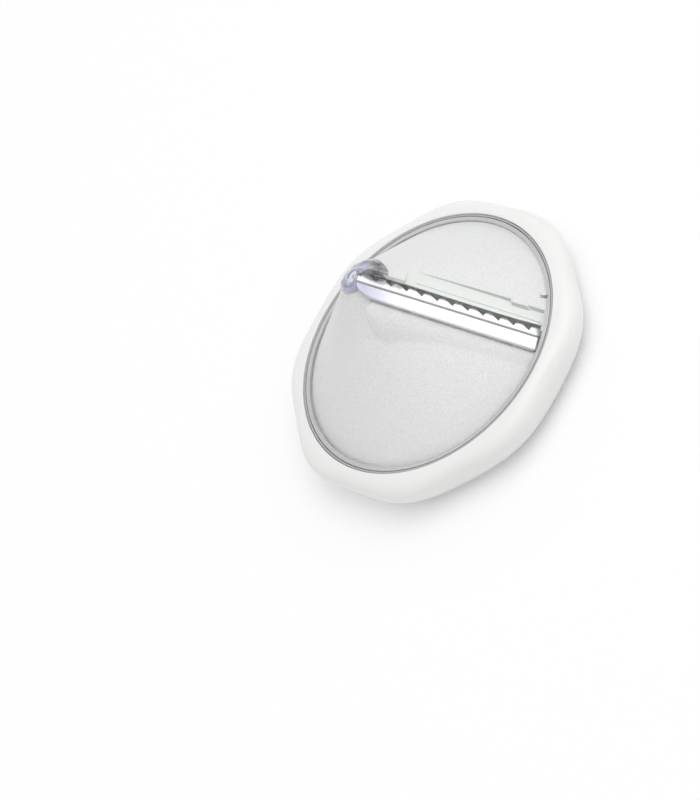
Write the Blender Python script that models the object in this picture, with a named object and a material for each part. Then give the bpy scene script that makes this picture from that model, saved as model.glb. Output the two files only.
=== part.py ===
# Spiral vegetable cutter: a cone with a serrated blade, held in a lobed grip ring.
# The ring's flat back lies on z = 0 and the cone's tip points up +Z.

import math

import bmesh
import bpy
from mathutils import Matrix

MM = 0.001

# Driving dimensions, in millimetres and degrees.
# Grip ring
LIP_RADIUS = 40.0  # bore of the ring at its front lip
GRIP_DEPTH = 12.0  # rest face to front lip
GRIP_SHOULDER = 5.3  # front lip down to the widest place
GRIP_OVERHANG = 5.6  # mean reach past the lip's bore
GRIP_BACK_REACH = 6.95  # widest place down to the section's bottom, cut flat by the rest face
SECTION_POWER = 2.3  # superellipse power of the ring's section
LOBE_COUNT = 8
LOBE_HEIGHT = 0.87
LIP_UNDERCUT = 2.0  # how far the shell is hollowed out behind its lip
LIP_THICKNESS = 1.55
PARTING_Z = 1.3  # where the shell ends and the back cover starts

# Back cover
COVER_SETBACK = 0.6  # frosted wall's edge out to the cover's bore
COVER_WALL = 1.8
COVER_CHAMFER = 0.55
SPIGOT_TOP = 3.4
SNAP_Z = 2.4
SNAP_DEPTH = 0.35
SNAP_HALF_WIDTH = 0.4

# Seal ring
SEAL_CLEARANCE = 0.15  # inside the lip
SEAL_WALL = 0.55
SEAL_LEG = 0.65

# Cone
CONE_HALF_ANGLE = 45.0
CONE_WALL = 1.5
SLICE = 1.3  # how far the wall rises in a turn, which is the slice's thickness
CONE_TOP_DROP = 0.5  # front lip down to the wall's highest place at the rim
RIM_DROP = 0.3  # front lip down to the polished rim
RIM_WIDTH = 1.2
FLANGE_CLEARANCE = 0.5  # inside the shell
FLANGE_THICKNESS = 2.8
RAMP_HALF_ANGLE = 2.0  # the wall steps back down within this of the blade's line

# Hub cap
HUB_RADIUS = 8.0  # brim on the ledge's side of the blade
HUB_END_RADIUS = 3.6  # brim once it has wound in, behind the blade
HUB_WIND_START = 0.25  # shares of a turn between which it winds in
HUB_WIND_END = 0.8
HUB_OVERHANG = 1.2  # brim past the hole in the wall
HUB_EDGE = 1.0
HUB_TIP_DROP = 2.4  # sharp tip of the wall's own cone down to the hub's tip
HUB_FACETS = 12
HUB_DIMPLE_SHARE = 0.35

# Blade
BLADE_AZIMUTH = -7.6
BLADE_TILT = 12.0
BLADE_OUTER_GAP = 2.4  # wall's outer edge to the blade's end
BLADE_INNER_GAP = 0.6  # cone's axis to the blade's inner end
STRIP_WIDTH = 7.1
STRIP_THICKNESS = 0.5
EDGE_THICKNESS = 0.12
BEVEL_WIDTH = 2.4
TIP_LEAD = 1.9  # tooth tips ahead of the cone's generator
TIP_LIFT = 0.1
TOOTH_PITCH = 4.2
TOOTH_DEPTH = 1.15
TAB_LENGTH = 3.6  # plain outer end of the strip, up to the first notch
TAB_LEAD = 0.45  # the plain end's corner ahead of the tooth tips
SPINE_FRONT_OUTER = 3.1  # tooth tips back to the spine's front, at its outer end
SPINE_FRONT_INNER = 4.0  # and at its inner end, since the bar tapers
SPINE_REAR = 7.6
SPINE_THICKNESS = 0.9
SPINE_OUTER_SETBACK = 1.2
SPINE_END_LENGTH = 6.5  # the rounded inner end
BED_OVERHANG = 2.9  # tooth tips back to the bed's edge
BED_MARGIN = 0.5  # bed past the strip's rear
BED_FALL_ANGLE = 60.0  # how steeply the bed falls to the wall behind the strip
BED_SKIN = 0.3  # of the wall's thickness left inside the bed

# Slot and ledge
THROAT_OUTER = 0.9  # tooth tips forward to the ledge, at the outer end
THROAT_INNER = 0.5  # and at the inner end
LAND_WIDTH = 4.6  # tooth tips forward to the land's far edge
LAND_DEPTH = 1.0
RISER_WIDTH = 0.9  # slope from the land up to the wall's surface
LAND_SETBACK = 1.2  # wall's outer edge to the land's end
NOTCH_ANGLE = 17.0  # rim notch, round from the blade's line
NOTCH_WIDTH = 1.1
NOTCH_LENGTH = 1.3

# Pins
PIN_RADIUS = 0.8
PIN_HEAD_RADIUS = 1.3
PIN_HEAD_HEIGHT = 0.4
PIN_DEPTH = 1.2  # underside of the blade down to the pin's flush head
PIN_BITE = 0.35  # how far the pin enters the spine
PIN_BACK = 5.6  # tooth tips back to the pins
PIN_SHARES = {"blade_pin_outer": 0.16, "blade_pin_inner": 0.71}  # of the blade's length, from its outer end

FIT_GAP = 0.2  # between pieces that seat on each other
CUT_REACH = 12.0  # how far cutters run past the wall

# Fineness
RING_STEPS = 112
CONE_STEPS = 144
HUB_STEPS = 48
SECTION_STEPS = 14
COVER_EDGE_STEPS = 5
PIN_SIDES = 16

# Shapes as shares
TOOTH_SHAPE = [(0.0, 0.0), (0.22, 0.46), (0.45, 0.92), (0.62, 1.0), (0.8, 0.97), (0.92, 0.6)]  # along, out
CROWN_SHAPE = [(0.86, 0.27), (0.56, 0.64), (0.28, 0.90)]  # out, up


# Sizes that follow from the ones above
half_angle = math.radians(CONE_HALF_ANGLE)
wall_axial = CONE_WALL / math.sin(half_angle)
rise_axial = SLICE / math.sin(half_angle)
seal_outer = LIP_RADIUS - SEAL_CLEARANCE
seal_inner = seal_outer - SEAL_WALL
rim_outer = seal_inner - FIT_GAP
cone_radius = rim_outer - RIM_WIDTH
shell_bore = LIP_RADIUS + LIP_UNDERCUT
flange_radius = shell_bore - FLANGE_CLEARANCE
cover_bore = cone_radius + COVER_SETBACK
cone_top_z = GRIP_DEPTH - CONE_TOP_DROP
rim_z = GRIP_DEPTH - RIM_DROP
lip_under_z = GRIP_DEPTH - LIP_THICKNESS
flange_top_z = lip_under_z - 2 * FIT_GAP - SEAL_LEG
flange_bottom_z = flange_top_z - FLANGE_THICKNESS
widest_z = GRIP_DEPTH - GRIP_SHOULDER
hub_tip_z = cone_top_z + cone_radius / math.tan(half_angle) - HUB_TIP_DROP
blade_length = cone_radius / math.sin(half_angle) - BLADE_OUTER_GAP - BLADE_INNER_GAP


def clear_scene():
    for item in list(bpy.data.objects):
        bpy.data.objects.remove(item, do_unlink=True)


def material(name, colour, roughness, metallic=0.0):
    made = bpy.data.materials.new(name)
    made.use_nodes = True
    shader = made.node_tree.nodes["Principled BSDF"]
    shader.inputs["Base Color"].default_value = (*colour, 1.0)
    shader.inputs["Roughness"].default_value = roughness
    shader.inputs["Metallic"].default_value = metallic
    made.diffuse_color = (*colour, 1.0)
    return made


def add_mesh(name, points, faces, finish=None, parent=None, smooth=True):
    """One object from points in millimetres, with its faces turned outwards."""
    work = bmesh.new()
    made = [work.verts.new([c * MM for c in point]) for point in points]
    for face in faces:
        work.faces.new([made[i] for i in face])
    bmesh.ops.recalc_face_normals(work, faces=work.faces)
    bmesh.ops.triangulate(work, faces=work.faces)
    mesh = bpy.data.meshes.new(name)
    work.to_mesh(mesh)
    work.free()
    if smooth:
        mesh.shade_smooth()
        mesh.set_sharp_from_angle(angle=math.radians(30))
    item = bpy.data.objects.new(name, mesh)
    bpy.context.scene.collection.objects.link(item)
    item.parent = parent
    if finish:
        mesh.materials.append(finish)
    return item


def add_empty(name, matrix, parent=None):
    item = bpy.data.objects.new(name, None)
    bpy.context.scene.collection.objects.link(item)
    item.parent = parent
    item.matrix_local = matrix
    return item


def as_cutter(item):
    item.hide_render = True
    item.display_type = "WIRE"
    return item


def boolean(item, tool, operation):
    step = item.modifiers.new(f"{operation} {tool.name}", "BOOLEAN")
    step.operation = operation
    step.solver = "EXACT"
    step.object = tool


def swept_ring(name, sections, finish):
    """A closed ring from one closed (r, z) section per angle, given as {angle: [(r, z), ...]}."""
    angles = sorted(sections)
    corners = len(sections[angles[0]])
    points = [
        (r * math.cos(angle), r * math.sin(angle), z)
        for angle in angles
        for r, z in sections[angle]
    ]
    faces = []
    for i in range(len(angles)):
        here = i * corners
        there = (i + 1) % len(angles) * corners
        for j in range(corners):
            k = (j + 1) % corners
            faces.append((here + j, there + j, there + k, here + k))
    return add_mesh(name, points, faces, finish)


def turned_ring(name, section, finish, steps=RING_STEPS):
    angles = [2 * math.pi * i / steps for i in range(steps)]
    return swept_ring(name, {angle: section for angle in angles}, finish)


def extruded(name, outline, low, high, finish=None, parent=None):
    """A straight prism of an (x, y) outline between two heights."""
    count = len(outline)
    points = [(x, y, low) for x, y in outline] + [(x, y, high) for x, y in outline]
    faces = [tuple(range(count)), tuple(range(count, 2 * count))]
    faces += [(i, (i + 1) % count, count + (i + 1) % count, count + i) for i in range(count)]
    return add_mesh(name, points, faces, finish, parent)


def box(name, low, high, parent):
    x0, y0, z0 = low
    x1, y1, z1 = high
    return extruded(name, [(x0, y0), (x1, y0), (x1, y1), (x0, y1)], z0, z1, parent=parent)


def circle(radius, centre=(0.0, 0.0), sides=PIN_SIDES):
    turns = [2 * math.pi * (i + 0.5) / sides for i in range(sides)]
    return [(centre[0] + radius * math.cos(t), centre[1] + radius * math.sin(t)) for t in turns]


# Grip ring

def grip_outline(angle, first_z, last_z, steps):
    """The section's outside, between two heights: a superellipse whose reach follows the lobes."""
    reach = GRIP_OVERHANG + LOBE_HEIGHT * math.cos(LOBE_COUNT * angle)
    points = []
    for z in section_heights(first_z, last_z, steps):
        span = GRIP_SHOULDER if z > widest_z else GRIP_BACK_REACH
        share = min(1.0, abs(z - widest_z) / span)
        out = (1.0 - share**SECTION_POWER) ** (1.0 / SECTION_POWER)
        points.append((LIP_RADIUS + reach * out, z))
    return points


def section_heights(first_z, last_z, steps):
    """Heights that crowd towards the top, where the section is nearly flat."""
    start = section_turn(first_z)
    finish = section_turn(last_z)
    heights = []
    for i in range(steps + 1):
        turn = start + (finish - start) * i / steps
        span = GRIP_SHOULDER if turn < math.pi / 2 else GRIP_BACK_REACH
        heights.append(widest_z + span * math.cos(turn))
    return heights


def section_turn(z):
    """A height on the section as an angle: 0 at the lip, a quarter turn at the widest place."""
    span = GRIP_SHOULDER if z > widest_z else GRIP_BACK_REACH
    return math.acos(max(-1.0, min(1.0, (z - widest_z) / span)))


def ring_angles():
    return [2 * math.pi * i / RING_STEPS for i in range(RING_STEPS)]


def grip_ring(finish):
    low = PARTING_Z + FIT_GAP / 2
    sections = {}
    for angle in ring_angles():
        outside = grip_outline(angle, GRIP_DEPTH, low, SECTION_STEPS)
        inside = [
            (shell_bore, low),
            (shell_bore, SNAP_Z - SNAP_HALF_WIDTH),
            (shell_bore + SNAP_DEPTH, SNAP_Z),
            (shell_bore, SNAP_Z + SNAP_HALF_WIDTH),
            (shell_bore, lip_under_z),
            (LIP_RADIUS, lip_under_z),
        ]
        sections[angle] = outside + inside
    return swept_ring("grip_ring", sections, finish)


def back_cover(finish):
    top = PARTING_Z - FIT_GAP / 2
    spigot = shell_bore - FIT_GAP
    wall = cover_bore + COVER_WALL
    wall_top = flange_bottom_z - FIT_GAP
    sections = {}
    for angle in ring_angles():
        outside = grip_outline(angle, top, 0.0, COVER_EDGE_STEPS)
        sections[angle] = (
            [(cover_bore, wall_top), (wall, wall_top), (wall, SPIGOT_TOP), (spigot, SPIGOT_TOP)]
            + [(spigot, SNAP_Z + SNAP_HALF_WIDTH)]
            + [(spigot + SNAP_DEPTH, SNAP_Z)]
            + [(spigot, SNAP_Z - SNAP_HALF_WIDTH), (spigot, top)]
            + outside
            + [(cover_bore + COVER_CHAMFER, 0.0), (cover_bore, COVER_CHAMFER)]
        )
    return swept_ring("grip_back_cover", sections, finish)


def seal_ring(finish):
    low = flange_top_z + FIT_GAP
    high = low + SEAL_LEG
    section = [(seal_inner, low), (flange_radius, low), (flange_radius, high), (seal_outer, high)]
    section += [(seal_outer, rim_z), (seal_inner, rim_z)]
    return turned_ring("seal_ring", section, finish)


# Cone

def turn_share(angle):
    """How far round from the ledge an angle lies, 0 to 1, with a quick step back at the blade's line."""
    turn = (math.degrees(angle) - BLADE_AZIMUTH) % 360.0
    if turn > 360.0 - RAMP_HALF_ANGLE:
        turn -= 360.0
    if turn < RAMP_HALF_ANGLE:
        return 0.5 - 0.5 * turn / RAMP_HALF_ANGLE
    return (turn - RAMP_HALF_ANGLE) / (360.0 - 2 * RAMP_HALF_ANGLE)


def wall_outer_z(radius, angle):
    slope = (cone_radius - radius) / math.tan(half_angle)
    return cone_top_z + slope - rise_axial * turn_share(angle)


def wall_inner_z(radius, angle):
    return wall_outer_z(radius, angle) - wall_axial


def hub_radius(angle):
    """The brim's radius: it stays wide on the ledge's side, then winds in towards the back of the blade."""
    wound = (turn_share(angle) - HUB_WIND_START) / (HUB_WIND_END - HUB_WIND_START)
    wide = 0.5 + 0.5 * math.cos(math.pi * max(0.0, min(1.0, wound)))
    return HUB_END_RADIUS + (HUB_RADIUS - HUB_END_RADIUS) * wide


def helix_angles(steps):
    """Even angles round the axis, with two more that keep the step back at the blade's line narrow."""
    start = math.radians(BLADE_AZIMUTH)
    step = math.radians(RAMP_HALF_ANGLE)
    count = steps - 1
    return [start + step + (2 * math.pi - 2 * step) * i / count for i in range(steps)]


def cone_body(finish):
    sections = {}
    for angle in helix_angles(CONE_STEPS):
        hole = hub_radius(angle) - HUB_OVERHANG
        sections[angle] = [
            (hole, wall_inner_z(hole, angle)),
            (cover_bore, wall_inner_z(cover_bore, angle)),
            (cover_bore, flange_bottom_z),
            (flange_radius, flange_bottom_z),
            (flange_radius, flange_top_z),
            (rim_outer, flange_top_z),
            (rim_outer, rim_z),
            (cone_radius, rim_z),
            (cone_radius, wall_outer_z(cone_radius, angle)),
            (hole, wall_outer_z(hole, angle)),
        ]
    return swept_ring("cutting_cone", sections, finish)


def hub_body(finish):
    """The clear tip: its plug fills the wall's hole, its brim lies on the wall, its top has facets."""
    angles = helix_angles(HUB_STEPS)
    tip_low = wall_inner_z(0.0, angles[-1])
    points = []
    for angle in angles:
        turn = (angle - math.radians(BLADE_AZIMUTH)) % (2 * math.pi / HUB_FACETS)
        facet = math.cos(math.pi / HUB_FACETS) / math.cos(turn - math.pi / HUB_FACETS)
        brim = hub_radius(angle)
        brim_z = wall_outer_z(brim, angle) + FIT_GAP
        plug = brim - HUB_OVERHANG - FIT_GAP
        dimple = plug * HUB_DIMPLE_SHARE
        edge_z = brim_z + HUB_EDGE
        section = [
            (dimple, wall_inner_z(dimple, angle)),
            (plug, wall_inner_z(plug, angle)),
            (plug, wall_outer_z(plug, angle) + FIT_GAP),
            (brim, brim_z),
            (brim, edge_z),
        ]
        for out, up in CROWN_SHAPE:
            section.append((brim * out * facet, edge_z + (hub_tip_z - edge_z) * up))
        points += [(r * math.cos(angle), r * math.sin(angle), z) for r, z in section]
    corners = len(points) // len(angles)
    bottom = len(points)
    points += [(0.0, 0.0, tip_low), (0.0, 0.0, hub_tip_z)]
    faces = []
    for i in range(len(angles)):
        here = i * corners
        there = (i + 1) % len(angles) * corners
        for j in range(corners - 1):
            faces.append((here + j, there + j, there + j + 1, here + j + 1))
        faces.append((bottom, there, here))
        faces.append((bottom + 1, here + corners - 1, there + corners - 1))
    return add_mesh("hub_cap", points, faces, finish, smooth=False)


# Blade. x runs forward to the tooth tips, y from the rim to the tip of the cone, z out of the blade's face.

def blade_frame():
    """An empty on the cone's cutting line, and one tilted in it to the blade's own plane."""
    across = (0.0, 1.0, 0.0)
    along = (-math.sin(half_angle), 0.0, math.cos(half_angle))
    out = (math.cos(half_angle), 0.0, math.sin(half_angle))
    basis = Matrix((across, along, out)).transposed().to_4x4()
    cutting_z = cone_top_z - rise_axial - wall_axial
    place = Matrix.Translation((cone_radius * MM, 0.0, cutting_z * MM))
    turn = Matrix.Rotation(math.radians(BLADE_AZIMUTH), 4, "Z")
    line = add_empty("blade_line", turn @ place @ basis)
    tilt = Matrix.Translation((TIP_LEAD * MM, BLADE_OUTER_GAP * MM, TIP_LIFT * MM))
    tilt = tilt @ Matrix.Rotation(math.radians(BLADE_TILT), 4, "Y")
    return line, add_empty("blade_plane", tilt, parent=line)


def tooth_edge():
    """Hooked teeth as (x, y), from the outer end to the inner: long slope, round shoulder, steep notch."""
    edge = [(TAB_LEAD, 0.0), (0.0, TAB_LENGTH - TOOTH_PITCH / 10)]
    for tooth in range(math.ceil((blade_length - TAB_LENGTH) / TOOTH_PITCH)):
        for share, height in TOOTH_SHAPE:
            y = TAB_LENGTH + (tooth + share) * TOOTH_PITCH
            if y < blade_length - TOOTH_PITCH / 4:
                edge.append((TOOTH_DEPTH * (height - 1.0), y))
    return edge + [(0.0, blade_length)]


def rounded_rear(width, start, first_y, grow=0.0, steps=8):
    """Rear edge as (x, y): a quarter ellipse at the inner end, then straight to the outer end."""
    rear = []
    reach = width - start
    for i in range(steps + 1):
        turn = math.pi / 2 * i / steps
        x = -start - (reach + grow) * math.sin(turn)
        y = blade_length + grow - SPINE_END_LENGTH * (1 - math.cos(turn))
        rear.append((x, y))
    return rear + [(-width - grow, first_y - grow)]


def blade_strip(finish, plane):
    """The strip: flat below, its front ground down to the teeth."""
    edge = tooth_edge()
    rear = rounded_rear(STRIP_WIDTH, BEVEL_WIDTH, 0.0)
    front = [(-BEVEL_WIDTH, 0.0)]
    ground = (STRIP_THICKNESS - EDGE_THICKNESS) / BEVEL_WIDTH
    points = [(x, y, 0.0) for x, y in edge + rear + front]
    points += [(x, y, EDGE_THICKNESS - ground * x) for x, y in edge]
    points += [(x, y, STRIP_THICKNESS) for x, y in rear + front]
    count = len(edge) + len(rear) + len(front)
    teeth = len(edge)
    faces = [tuple(range(count))]
    faces.append(tuple(count + i for i in range(teeth + 1)) + (2 * count - 1,))
    faces.append(tuple(count + i for i in range(teeth, count)))
    faces += [(i, (i + 1) % count, count + (i + 1) % count, count + i) for i in range(count)]
    return add_mesh("serrated_blade", points, faces, finish, plane)


def spine_outline():
    rear = rounded_rear(SPINE_REAR, SPINE_FRONT_INNER, SPINE_OUTER_SETBACK)
    return [(-SPINE_FRONT_OUTER, SPINE_OUTER_SETBACK)] + rear


def blade_spine(finish, plane):
    low = STRIP_THICKNESS + FIT_GAP
    return extruded("blade_spine", spine_outline(), low, low + SPINE_THICKNESS, finish, plane)


def pin(name, share, finish, plane):
    """A pin with a flush head below the bed and its end in the spine."""
    along = share * blade_length
    head = circle(PIN_HEAD_RADIUS)
    shank = circle(PIN_RADIUS)
    top = STRIP_THICKNESS + FIT_GAP + PIN_BITE
    neck = PIN_HEAD_HEIGHT - PIN_DEPTH
    rings = [(head, -PIN_DEPTH), (head, neck), (shank, neck), (shank, top)]
    points = [(x - PIN_BACK, y + along, z) for ring, z in rings for x, y in ring]
    count = PIN_SIDES
    faces = [tuple(range(count)), tuple(range(3 * count, 4 * count))]
    for level in range(3):
        for i in range(count):
            j = (i + 1) % count
            low = level * count
            faces.append((low + i, low + j, low + count + j, low + count + i))
    return add_mesh(name, points, faces, finish, plane)


def pin_cutter(name, share, radius, top, plane):
    outline = circle(radius + FIT_GAP, (-PIN_BACK, share * blade_length))
    return as_cutter(extruded(name, outline, -CUT_REACH, top, parent=plane))


def lofted(name, corners, first_y, last_y, parent):
    """A straight prism along y of (x, z) corners."""
    count = len(corners)
    points = [(x, y, z) for y in (first_y, last_y) for x, z in corners]
    faces = [tuple(range(count)), tuple(range(count, 2 * count))]
    faces += [(i, (i + 1) % count, count + (i + 1) % count, count + i) for i in range(count)]
    return add_mesh(name, points, faces, parent=parent)


def upright_cutter(name, corners, shifts, setback, inner_end, line):
    """A cutter from (x, z) corners to its inner end, where each x may shift. Its outer end is upright."""
    count = len(corners)
    points = [(x, setback + z, z) for x, z in corners]
    points += [(x + shift, inner_end, z) for (x, z), shift in zip(corners, shifts)]
    faces = [tuple(range(count)), tuple(range(count, 2 * count))]
    faces += [(i, (i + 1) % count, count + (i + 1) % count, count + i) for i in range(count)]
    return as_cutter(add_mesh(name, points, faces, parent=line))


def blade_bed(plane):
    """A pad under the blade that falls to the wall behind it. It ends inside the wall's own thickness."""
    fall = CUT_REACH / math.tan(math.radians(BED_FALL_ANGLE))
    rear = -STRIP_WIDTH - BED_MARGIN
    front = TAB_LEAD - BED_OVERHANG
    corners = [(front, 0.0), (rear, 0.0), (rear - fall, -CUT_REACH), (front, -CUT_REACH)]
    inner = (cone_radius - HUB_END_RADIUS - HUB_OVERHANG) / math.sin(half_angle) - BLADE_OUTER_GAP
    bed = as_cutter(lofted("blade_bed", corners, -FIT_GAP, inner, plane))
    lift = BED_SKIN / math.sin(half_angle)
    sections = {}
    for angle in helix_angles(CONE_STEPS):
        low = wall_inner_z(HUB_OVERHANG, angle) + lift
        high = wall_inner_z(shell_bore, angle) + lift
        under = high - 2 * CUT_REACH
        sections[angle] = [(HUB_OVERHANG, low), (shell_bore, high), (shell_bore, under), (HUB_OVERHANG, under)]
    core = as_cutter(swept_ring("wall_core", sections, None))
    boolean(bed, core, "DIFFERENCE")
    return bed


def cut_openings(cone, hub, strip, spine, line, plane):
    """The slot, the ledge's land, the blade's bed and pocket, and the pins' holes."""
    inner = blade_length + FIT_GAP
    outer = SPINE_OUTER_SETBACK - FIT_GAP
    bed_edge = TIP_LEAD - BED_OVERHANG * math.cos(math.radians(BLADE_TILT))
    land_inner = (cone_radius - HUB_RADIUS) / math.sin(half_angle) - LAND_DEPTH
    bed = blade_bed(plane)

    end_low = (-STRIP_WIDTH - FIT_GAP, -FIT_GAP, -FIT_GAP)
    end_high = (TAB_LEAD + FIT_GAP, outer + FIT_GAP, STRIP_THICKNESS + FIT_GAP)
    end_pocket = as_cutter(box("blade_end_pocket", end_low, end_high, plane))

    ledge = TIP_LEAD + THROAT_OUTER
    throat = [(bed_edge, -CUT_REACH), (ledge, -CUT_REACH), (ledge, CUT_REACH), (bed_edge, CUT_REACH)]
    narrowing = [0.0, THROAT_INNER - THROAT_OUTER, THROAT_INNER - THROAT_OUTER, 0.0]
    slot_setback = BLADE_OUTER_GAP - 2 * FIT_GAP
    slot = upright_cutter("slot", throat, narrowing, slot_setback, BLADE_OUTER_GAP + inner, line)

    wall_top = CONE_WALL + SLICE
    land_z = wall_top - LAND_DEPTH
    land_end = TIP_LEAD + LAND_WIDTH
    riser = [(land_end, land_z), (land_end + RISER_WIDTH, wall_top), (land_end + RISER_WIDTH, CUT_REACH)]
    corners = [(TIP_LEAD, land_z)] + riser + [(TIP_LEAD, CUT_REACH)]
    land = upright_cutter("land", corners, [0.0] * len(corners), LAND_SETBACK, land_inner, line)

    rear = rounded_rear(SPINE_REAR, SPINE_FRONT_OUTER, SPINE_OUTER_SETBACK, FIT_GAP)
    front = [(THROAT_INNER / 2, outer), (THROAT_INNER / 2, inner)]
    pocket = as_cutter(extruded("blade_pocket", front + rear, -FIT_GAP, CUT_REACH, parent=plane))

    turn = Matrix.Rotation(math.radians(BLADE_AZIMUTH + NOTCH_ANGLE), 4, "Z")
    notch_low = (cone_radius - NOTCH_LENGTH, -NOTCH_WIDTH / 2, 0.0)
    notch_high = (cone_radius + RIM_WIDTH / 2, NOTCH_WIDTH / 2, GRIP_DEPTH + CUT_REACH)
    notch = as_cutter(box("rim_notch", notch_low, notch_high, add_empty("notch_line", turn)))

    boolean(cone, bed, "UNION")
    for tool in (end_pocket, land, notch):
        boolean(cone, tool, "DIFFERENCE")
    for tool in (slot, pocket):
        boolean(cone, tool, "DIFFERENCE")
        boolean(hub, tool, "DIFFERENCE")
    web = FIT_GAP - PIN_DEPTH + PIN_HEAD_HEIGHT
    hole_top = STRIP_THICKNESS + 2 * FIT_GAP + PIN_BITE
    for name, share in PIN_SHARES.items():
        recess = pin_cutter(f"{name}_recess", share, PIN_HEAD_RADIUS, web, plane)
        hole = pin_cutter(f"{name}_hole", share, PIN_RADIUS, hole_top, plane)
        boolean(cone, recess, "DIFFERENCE")
        for item in (cone, strip, spine):
            boolean(item, hole, "DIFFERENCE")


def main():
    clear_scene()
    white = material("white plastic", (0.86, 0.86, 0.85), 0.25)
    frosted = material("frosted clear plastic", (0.78, 0.80, 0.79), 0.55)
    clear = material("polished clear plastic", (0.72, 0.74, 0.80), 0.08)
    grey = material("grey rubber", (0.36, 0.36, 0.36), 0.5)
    steel = material("polished steel", (0.80, 0.80, 0.82), 0.15, metallic=1.0)

    grip_ring(white)
    back_cover(white)
    seal_ring(grey)
    cone = cone_body(frosted)
    hub = hub_body(clear)

    line, plane = blade_frame()
    strip = blade_strip(steel, plane)
    spine = blade_spine(steel, plane)
    for name, share in PIN_SHARES.items():
        pin(name, share, steel, plane)
    cut_openings(cone, hub, strip, spine, line, plane)


main()
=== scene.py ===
import math

import bmesh
import bpy
import numpy as np
from mathutils import Matrix, Vector


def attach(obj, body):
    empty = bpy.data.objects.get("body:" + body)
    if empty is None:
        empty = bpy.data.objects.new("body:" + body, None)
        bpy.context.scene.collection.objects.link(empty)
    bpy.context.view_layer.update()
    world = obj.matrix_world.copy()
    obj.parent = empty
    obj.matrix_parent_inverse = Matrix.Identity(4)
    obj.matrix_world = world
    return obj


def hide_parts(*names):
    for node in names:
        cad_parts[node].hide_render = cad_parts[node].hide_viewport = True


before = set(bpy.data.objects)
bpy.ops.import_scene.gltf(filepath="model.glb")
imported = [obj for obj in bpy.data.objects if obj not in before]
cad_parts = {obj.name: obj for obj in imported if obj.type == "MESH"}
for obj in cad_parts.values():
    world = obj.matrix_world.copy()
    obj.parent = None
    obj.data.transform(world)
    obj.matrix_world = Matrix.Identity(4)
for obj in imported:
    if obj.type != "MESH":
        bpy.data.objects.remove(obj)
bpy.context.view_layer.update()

mm = 0.001
mergeWithin = 1e-7  # metres
root2 = math.sqrt(2)
print("frame loaded:", ", ".join(sorted(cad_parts)))


# Mesh helpers: every shape is worked out in millimetres on whole arrays

def addPiece(name, points, faces):
    # one closed object, its faces turned outwards
    mesh = bpy.data.meshes.new(name)
    mesh.from_pydata((np.asarray(points, float).reshape(-1, 3) * mm).tolist(), [], faces)
    work = bmesh.new()
    work.from_mesh(mesh)
    bmesh.ops.remove_doubles(work, verts=work.verts, dist=mergeWithin)
    bmesh.ops.recalc_face_normals(work, faces=work.faces)
    work.to_mesh(mesh)
    work.free()
    item = bpy.data.objects.new(name, mesh)
    bpy.context.scene.collection.objects.link(item)
    return item


def gridFaces(rows, columns, closed=True, wrapped=True):
    # quads between neighbouring rows and columns; the last row meets the first if closed, and the last
    # column the first if wrapped
    i, j = np.indices((rows if closed else rows - 1, columns if wrapped else columns - 1))
    here, there = i * columns, (i + 1) % rows * columns
    k = (j + 1) % columns
    return np.stack([here + j, there + j, there + k, here + k], -1).reshape(-1, 4).tolist()


def revolve(name, radius, height, angle):
    # radius and height of each corner, at each angle or the same all round:
    # x = r cos a, y = r sin a, z = height
    radius, height, angle = np.broadcast_arrays(radius, height, angle[:, None])
    points = np.stack([radius * np.cos(angle), radius * np.sin(angle), height], -1)
    return addPiece(name, points, gridFaces(*radius.shape))


def loft(name, sections):
    # (station, corner, xyz) sections joined in order, with a flat cap at each end
    rows, columns = sections.shape[:2]
    faces = gridFaces(rows, columns, closed=False)
    faces += [tuple(range(columns)), tuple(range((rows - 1) * columns, rows * columns))]
    return addPiece(name, sections, faces)


def prism(name, corners, low, high, matrix, axis=1):
    # a straight prism of corners in the plane across the axis, between two places on it
    corners = np.asarray(corners, float)
    ends = [np.insert(corners, axis, place, axis=1) for place in (low, high)]
    return loft(name, placed(np.stack(ends), matrix))


def rectangle(left, right, low, high):
    return [(left, low), (right, low), (right, high), (left, high)]


def arc(centre, radius, start, finish, steps):
    # points on part of a circle, the angles in degrees
    turn = np.radians(np.linspace(start, finish, steps))
    return np.stack([centre[0] + radius * np.cos(turn), centre[1] + radius * np.sin(turn)], -1)


def placed(points, matrix):
    m = np.asarray(matrix)
    return points @ m[:3, :3].T + m[:3, 3]


def carve(item, tools):
    # each tool is cut away in turn, and what is left replaces the mesh
    for tool in tools:
        step = item.modifiers.new(tool.name, "BOOLEAN")
        step.operation, step.solver, step.object = "DIFFERENCE", "EXACT", tool
    made = bpy.data.meshes.new_from_object(item.evaluated_get(bpy.context.evaluated_depsgraph_get()))
    item.modifiers.clear()
    item.data = made


def shade(item, crease=32):
    # smooth, but sharp where two faces meet at more than the crease, in degrees
    item.data.shade_smooth()
    item.data.set_sharp_from_angle(angle=math.radians(crease))


def dress(item, node, finish):
    # the finish, and what the piece rides, replaces and is made of
    item.data.materials.clear()
    item.data.materials.append(finish)
    item.data.polygons.foreach_set("material_index", np.zeros(len(item.data.polygons), int))
    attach(item, "root")
    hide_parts(node)
    print("piece", item.name, "stands for", node, "with", len(item.data.polygons), "faces")


# Shader helpers

class Link:
    # a socket in an expression: arithmetic on it adds Math nodes
    def __init__(self, graph, socket):
        self.graph, self.socket = graph, socket

    def __add__(self, other):
        return self.graph.math("ADD", self, other)

    def __radd__(self, other):
        return self.graph.math("ADD", other, self)

    def __rsub__(self, other):
        return self.graph.math("SUBTRACT", other, self)

    def __mul__(self, other):
        return self.graph.math("MULTIPLY", self, other)

    def __rmul__(self, other):
        return self.graph.math("MULTIPLY", other, self)


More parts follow.
